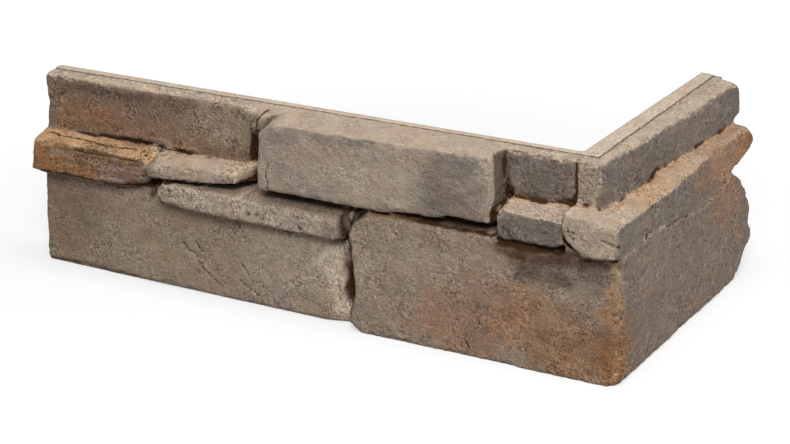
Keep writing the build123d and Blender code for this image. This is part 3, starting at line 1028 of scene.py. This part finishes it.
def tint_of(mesh, closed, colours):
    """The colour of each point, from the stones' pigments, the washes and the stains, with painted
    shade in the hollows, the recess and under overhanging stones, and painted bounce light on ledge
    tops.
    """
    points, normals = points_of(mesh), averaged(normals_of(mesh), edges_of(mesh), 2)
    broad = wandering(points, *BROAD_WANDER)
    fine = wandering(points, *FINE_WANDER)
    wander = broad + fine
    rough = broad / ROUGH_BY[0] + fine / ROUGH_BY[1] + wandering(points, *ROUGH_WANDER)
    rough = rough[:, 0]
    tint = np.tile(colours["bare"], (len(points), 1))

    def lay(name, weight):
        tint[:] = mixed(tint, colours[name], weight)

    for stone in reversed(STONES):
        held = inside_of(stone, points)
        tint[held] = stone_tint(stone, colours, normals[held], rough[held])
    for wash in WASHES:
        lay(wash.pigment, wash_weight(wash, points, normals, wander, rough))
    behind = (seam_field(points) < 0) & (points[:, 2] > TOP_EDGE * MM)
    tint[behind | on_walls(points)] = colours["bare"]
    # Painted bounce light: straw on upward faces near the joints, above the beds.
    bounce_light = rise(0.1, 0.28, closed) * rise(0.2, 0.7, normals[:, 2])
    bounce_light *= points[:, 2] > BOUNCE_LIGHT_BED * MM
    lay("straw", BOUNCE_LIGHT_TINT * bounce_light)
    recess = inside(points, *RECESS)
    lay("umber", floor_stain(points, normals) * ~recess)
    for dent in DENTS:
        lay(dent.pigment, rise(1.1, 0.5, distance_from(dent, points)))
    # Umber by how closed in each point is: dark joint colour and painted shade where the light is
    # shut out, less on upper faces.
    lay("umber", rise(0.22, 0.46, closed) * (1 - LESS_STAIN_AND_SHADE * rise(0.3, 0.7, normals[:, 2])))
    # The recess gets a darker pigment than the stones beside it: painted shade of the deep recess.
    tint[recess & (normals[:, 2] < 0.6)] = colours["peat"]
    lay("sand", FILL_TINT * field_of(mesh, "filled"))
    for wash in LATE_WASHES:
        lay(wash.pigment, wash_weight(wash, points, normals, wander, rough))
    return tint


def lay_colours(piece, pigments):
    """Keep each point's colour on the mesh."""
    mesh = piece.data
    colours = {name: gamma_to_linear(getattr(pigments, name))
               for name in STONE_PG_pigments.__annotations__}
    closed = hollowness(mesh)
    tint = tint_of(mesh, closed, colours)
    paint = mesh.attributes.new("tint", "FLOAT_COLOR", "POINT")
    paint.data.foreach_set("color", np.c_[tint, np.ones(len(tint))].astype(np.float32).ravel())
    keep_field(mesh, "seam", seam_field(points_of(mesh)))


def seam_line(tree, place):
    """The dark line of the seam: 1 on it, on the top alone."""
    ahead = add_node(tree, "ShaderNodeAttribute", attribute_name="seam").outputs["Fac"]
    wander = swing(tree, noise_at(tree, place, *NOISES["seam"]), 0.0006)
    away = maths(tree, "ABSOLUTE", total(tree, ahead, wander))
    height = add_node(tree, "ShaderNodeSeparateXYZ", {0: place}).outputs["Z"]
    line = rest(tree, step_between(tree, away, 0.0004, 0.0011))
    return product(tree, line, maths(tree, "GREATER_THAN", height, SEAM_FLOOR * MM))


def stone_material(umber):
    """Pigmented cast stone: the tint, broken up by grain, specks and fine relief, painted lighter
    where the relief is raised and darker where sunk, and umber in cracks and creases, partly
    painted shade.
    """
    material = bpy.data.materials.new("Cast stone")
    tree = empty_tree(material)

    def kept(name, output="Fac"):
        return add_node(tree, "ShaderNodeAttribute", attribute_name=name).outputs[output]

    place = add_node(tree, "ShaderNodeTexCoord").outputs["Object"]

    def noise_of(name, vector=place):
        return noise_at(tree, vector, *NOISES[name])

    def swung(name, value):
        return swing(tree, value, STRENGTHS[name])

    def marks(name):
        return step_between(tree, noise_of(name), *LIMITS[name])

    fine, middle = noise_of("fine"), noise_of("middle")
    streaks = noise_of("streaks", vectors(tree, "MULTIPLY", place, STREAK_SQUEEZE))
    grain = product(tree, total(tree, 0.45, marks("patches")), kept("grain"),
                    total(tree, swung("fine", fine), swung("middle", middle)))
    banding = total(tree, 0.1, product(tree, kept("layered"), 0.7))
    # The relief's height makes raised points lighter and sunk ones darker: painted shade and
    # highlight.
    value = total(tree, 1.0, grain, swing(tree, streaks, banding),
                  swung("broad", noise_of("broad")), product(tree, kept("height"), HEIGHT_SHADE))
    value = product(tree, value, rest(tree, marks("pits"), kept("edge"), STRENGTHS["pits"]),
                    rest(tree, marks("dark"), STRENGTHS["dark"]))
    pale = product(tree, marks("light"), kept("chiselled"), STRENGTHS["light"])
    value = product(tree, total(tree, value, pale), rest(tree, seam_line(tree, place), 0.7))
    warmth = swung("warmth", noise_of("warmth"))
    drift = add_node(tree, "ShaderNodeCombineXYZ",
                     {"X": total(tree, 1.0, warmth), "Y": 1.0, "Z": rest(tree, warmth)}
                     ).outputs[0]
    dry = vectors(tree, "MULTIPLY", scaled(tree, kept("tint", "Color"), value), drift)
    # Cracks, creases and the feet of overhanging stones go to umber: stains and dark joints, and
    # painted shadow along the feet.
    colour = add_node(tree, "ShaderNodeMix",
                      {"Factor": step_between(tree, kept("stain"), 0.12, 0.45), 6: dry,
                       7: (*gamma_to_linear(umber), 1.0)}, data_type="RGBA").outputs[2]
    bump = add_node(tree, "ShaderNodeBump",
                    {"Strength": 1.0, "Distance": 0.0012, "Height": total(tree, fine, middle)})
    shader = add_node(tree, "ShaderNodeBsdfPrincipled",
                      {"Base Color": colour, "Roughness": 0.92, "Specular IOR Level": 0.2,
                       "Normal": bump.outputs["Normal"]})
    add_node(tree, "ShaderNodeOutputMaterial", {"Surface": shader.outputs[0]})
    return material


# Operators

class STONE_OT_casting(bpy.types.Operator):
    """Finish the whole casting: skin, relief, cracks and colour"""

    bl_idname = "stone.casting"
    bl_label = "Casting"

    def execute(self, context):
        sizes, pigments = context.scene.stone_relief, context.scene.stone_pigments
        noise.seed_set(SEED)
        piece = skin_of(NODE, sizes.skin_spacing)
        mesh = piece.data
        sharp, edges = points_of(mesh), edges_of(mesh)
        normals = normals_of(mesh)
        mask = relief_mask(sharp, normals)
        points = averaged(sharp, edges, sizes.easing_rounds)
        turn = np.sum((sharp - averaged(sharp, edges, TURN_ROUNDS)) * normals, axis=1)
        crease = rise(*CREASE_TURN, -turn) * mask
        crisp, on_short = crisp_ends(points), rise(*FACING, outward(SHORT, normals))
        keep_field(mesh, "edge", rise(*EDGE_TURN, turn) * (1 - LESS_CHIPS * crisp))
        keep_field(mesh, "relief", averaged(mask, edges, BLEND_ROUNDS))
        layered, grain = (stone_field(points, edges, name) for name in ("layered", "grain"))
        keep_field(mesh, "layered", layered * (1 - LESS_LAYERS * crisp))
        keep_field(mesh, "grain", grain * (1 + MORE_GRAIN * on_short))
        keep_field(mesh, "chiselled", stone_field(points, edges, "chiselled"))
        points -= normals * (crease * sizes.crease_depth)[:, None]
        # Cracks and creases darken: the cracks' own stains, dark joint lines, and painted shade in
        # the creases.
        keep_field(mesh, "stain", np.maximum(carve_cracks(points, normals), CREASE_STAIN_AND_SHADE * crease))
        press_dents(points, normals)
        keep_field(mesh, "filled", fill_joints(points, normals, edges))
        push_places(points)
        move_points(mesh, points)
        lay_relief(piece, sizes, stone_material(pigments.umber))
        move_points(piece.data, inside_box(points_of(piece.data)))
        lighten(piece, sizes.most_triangles)
        move_points(piece.data, inside_box(points_of(piece.data)))
        lay_colours(piece, pigments)
        piece.data.shade_smooth()
        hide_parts(NODE)
        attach(piece, BODY)
        return {"FINISHED"}


def seen_directly(tree):
    """1 where the camera, a mirror or a pane looks straight at a surface."""
    path = add_node(tree, "ShaderNodeLightPath").outputs
    seen = maths(tree, "MAXIMUM", path["Is Camera Ray"], path["Is Glossy Ray"])
    return maths(tree, "MAXIMUM", seen, path["Is Transmission Ray"])


def floor_material(colour, glow):
    """A plain matt floor that keeps shadows, and fades to white away from the piece."""
    material = bpy.data.materials.new("Floor")
    tree = empty_tree(material)
    matt = add_node(tree, "ShaderNodeBsdfDiffuse", {"Color": (*gamma_to_linear(colour), 1.0)})
    place = add_node(tree, "ShaderNodeTexCoord").outputs["Object"]
    away = add_node(tree, "ShaderNodeVectorMath", {0: place, 1: (MIDDLE.x, MIDDLE.y, 0.0)},
                    operation="DISTANCE").outputs["Value"]
    far = step_between(tree, away, 0.3, 1.0)
    strength = total(tree, glow, product(tree, far, 1.0 - glow))
    light = add_node(tree, "ShaderNodeEmission",
                     {"Color": (1.0, 1.0, 1.0, 1.0),
                      "Strength": product(tree, strength, seen_directly(tree))})
    both = add_node(tree, "ShaderNodeAddShader", {0: matt.outputs[0], 1: light.outputs[0]})
    add_node(tree, "ShaderNodeOutputMaterial", {"Surface": both.outputs[0]})
    return material


def lay_floor(studio):
    """The floor that the piece stands on."""
    shape = bmesh.new()
    bmesh.ops.create_grid(shape, x_segments=1, y_segments=1, size=studio.floor_reach)
    mesh = bpy.data.meshes.new("floor")
    shape.to_mesh(mesh)
    shape.free()
    mesh.materials.append(floor_material(studio.floor, studio.floor_glow))
    placed("floor", mesh)


def hang_lamp(lamp, watts):
    """A square soft lamp that looks at the piece's middle."""
    light = bpy.data.lights.new(lamp.name, "AREA")
    light.size = lamp.side
    light.energy = watts
    azimuth, elevation = math.radians(lamp.azimuth), math.radians(lamp.elevation)
    way = Vector((math.sin(azimuth) * math.cos(elevation), -math.cos(azimuth) * math.cos(elevation),
                  math.sin(elevation)))
    hung = placed(lamp.name, light)
    hung.location = MIDDLE + way * lamp.distance
    hung.rotation_euler = way.to_track_quat("Z", "Y").to_euler()


def light_sky(strength):
    """An even pale sky, white where it is looked at."""
    world = bpy.data.worlds.new("Studio")
    tree = empty_tree(world)
    level = add_node(tree, "ShaderNodeMix",
                     {"Factor": seen_directly(tree), "A": strength, "B": 1.0},
                     data_type="FLOAT").outputs[0]
    sky = add_node(tree, "ShaderNodeBackground", {"Color": (1.0, 1.0, 1.0, 1.0), "Strength": level})
    add_node(tree, "ShaderNodeOutputWorld", {"Surface": sky.outputs[0]})
    bpy.context.scene.world = world


def set_camera():
    """The camera at the photograph's angle."""
    lens = bpy.data.cameras.new("camera")
    lens.lens = CAMERA_LENS
    lens.sensor_width = CAMERA_SENSOR
    camera = placed("camera", lens)
    camera.location = CAMERA_PLACE
    camera.rotation_euler = [math.radians(turn) for turn in CAMERA_TURN]
    bpy.context.scene.camera = camera


class STONE_OT_stage(bpy.types.Operator):
    """Lay the floor and set the lamps, the sky and the camera"""

    bl_idname = "stone.stage"
    bl_label = "Stage"

    def execute(self, context):
        studio = context.scene.stone_studio
        lay_floor(studio)
        for lamp in LAMPS:
            hang_lamp(lamp, getattr(studio, f"{lamp.name}_power"))
        light_sky(studio.sky)
        set_camera()
        context.scene.view_settings.view_transform = "Standard"
        return {"FINISHED"}


class STONE_PT_panel(bpy.types.Panel):
    """Sizes, pigments and steps of the stone corner"""

    bl_idname = "STONE_PT_panel"
    bl_label = "Stone corner"
    bl_space_type = "VIEW_3D"
    bl_region_type = "UI"
    bl_category = "Stone corner"

    def draw(self, context):
        for name, group in GROUPS.items():
            box = self.layout.box()
            for setting in group.__annotations__:
                box.prop(getattr(context.scene, name), setting)
        for step in STEPS:
            self.layout.operator(step.bl_idname)


STEPS = (STONE_OT_casting, STONE_OT_stage)
GROUPS = {"stone_relief": STONE_PG_relief, "stone_pigments": STONE_PG_pigments,
          "stone_studio": STONE_PG_studio}
CLASSES = (*GROUPS.values(), *STEPS, STONE_PT_panel)


def register():
    """Register the classes and hang the settings on the scene."""
    for kind in CLASSES:
        bpy.utils.register_class(kind)
    for name, group in GROUPS.items():
        setattr(bpy.types.Scene, name, bpy.props.PointerProperty(type=group))


def unregister():
    """Take the classes and the settings off again."""
    for name in GROUPS:
        delattr(bpy.types.Scene, name)
    for kind in reversed(CLASSES):
        bpy.utils.unregister_class(kind)


def main():
    """Make the piece and its stage."""
    register()
    bpy.ops.stone.casting()
    bpy.ops.stone.stage()


if __name__ == "__main__":
    main()
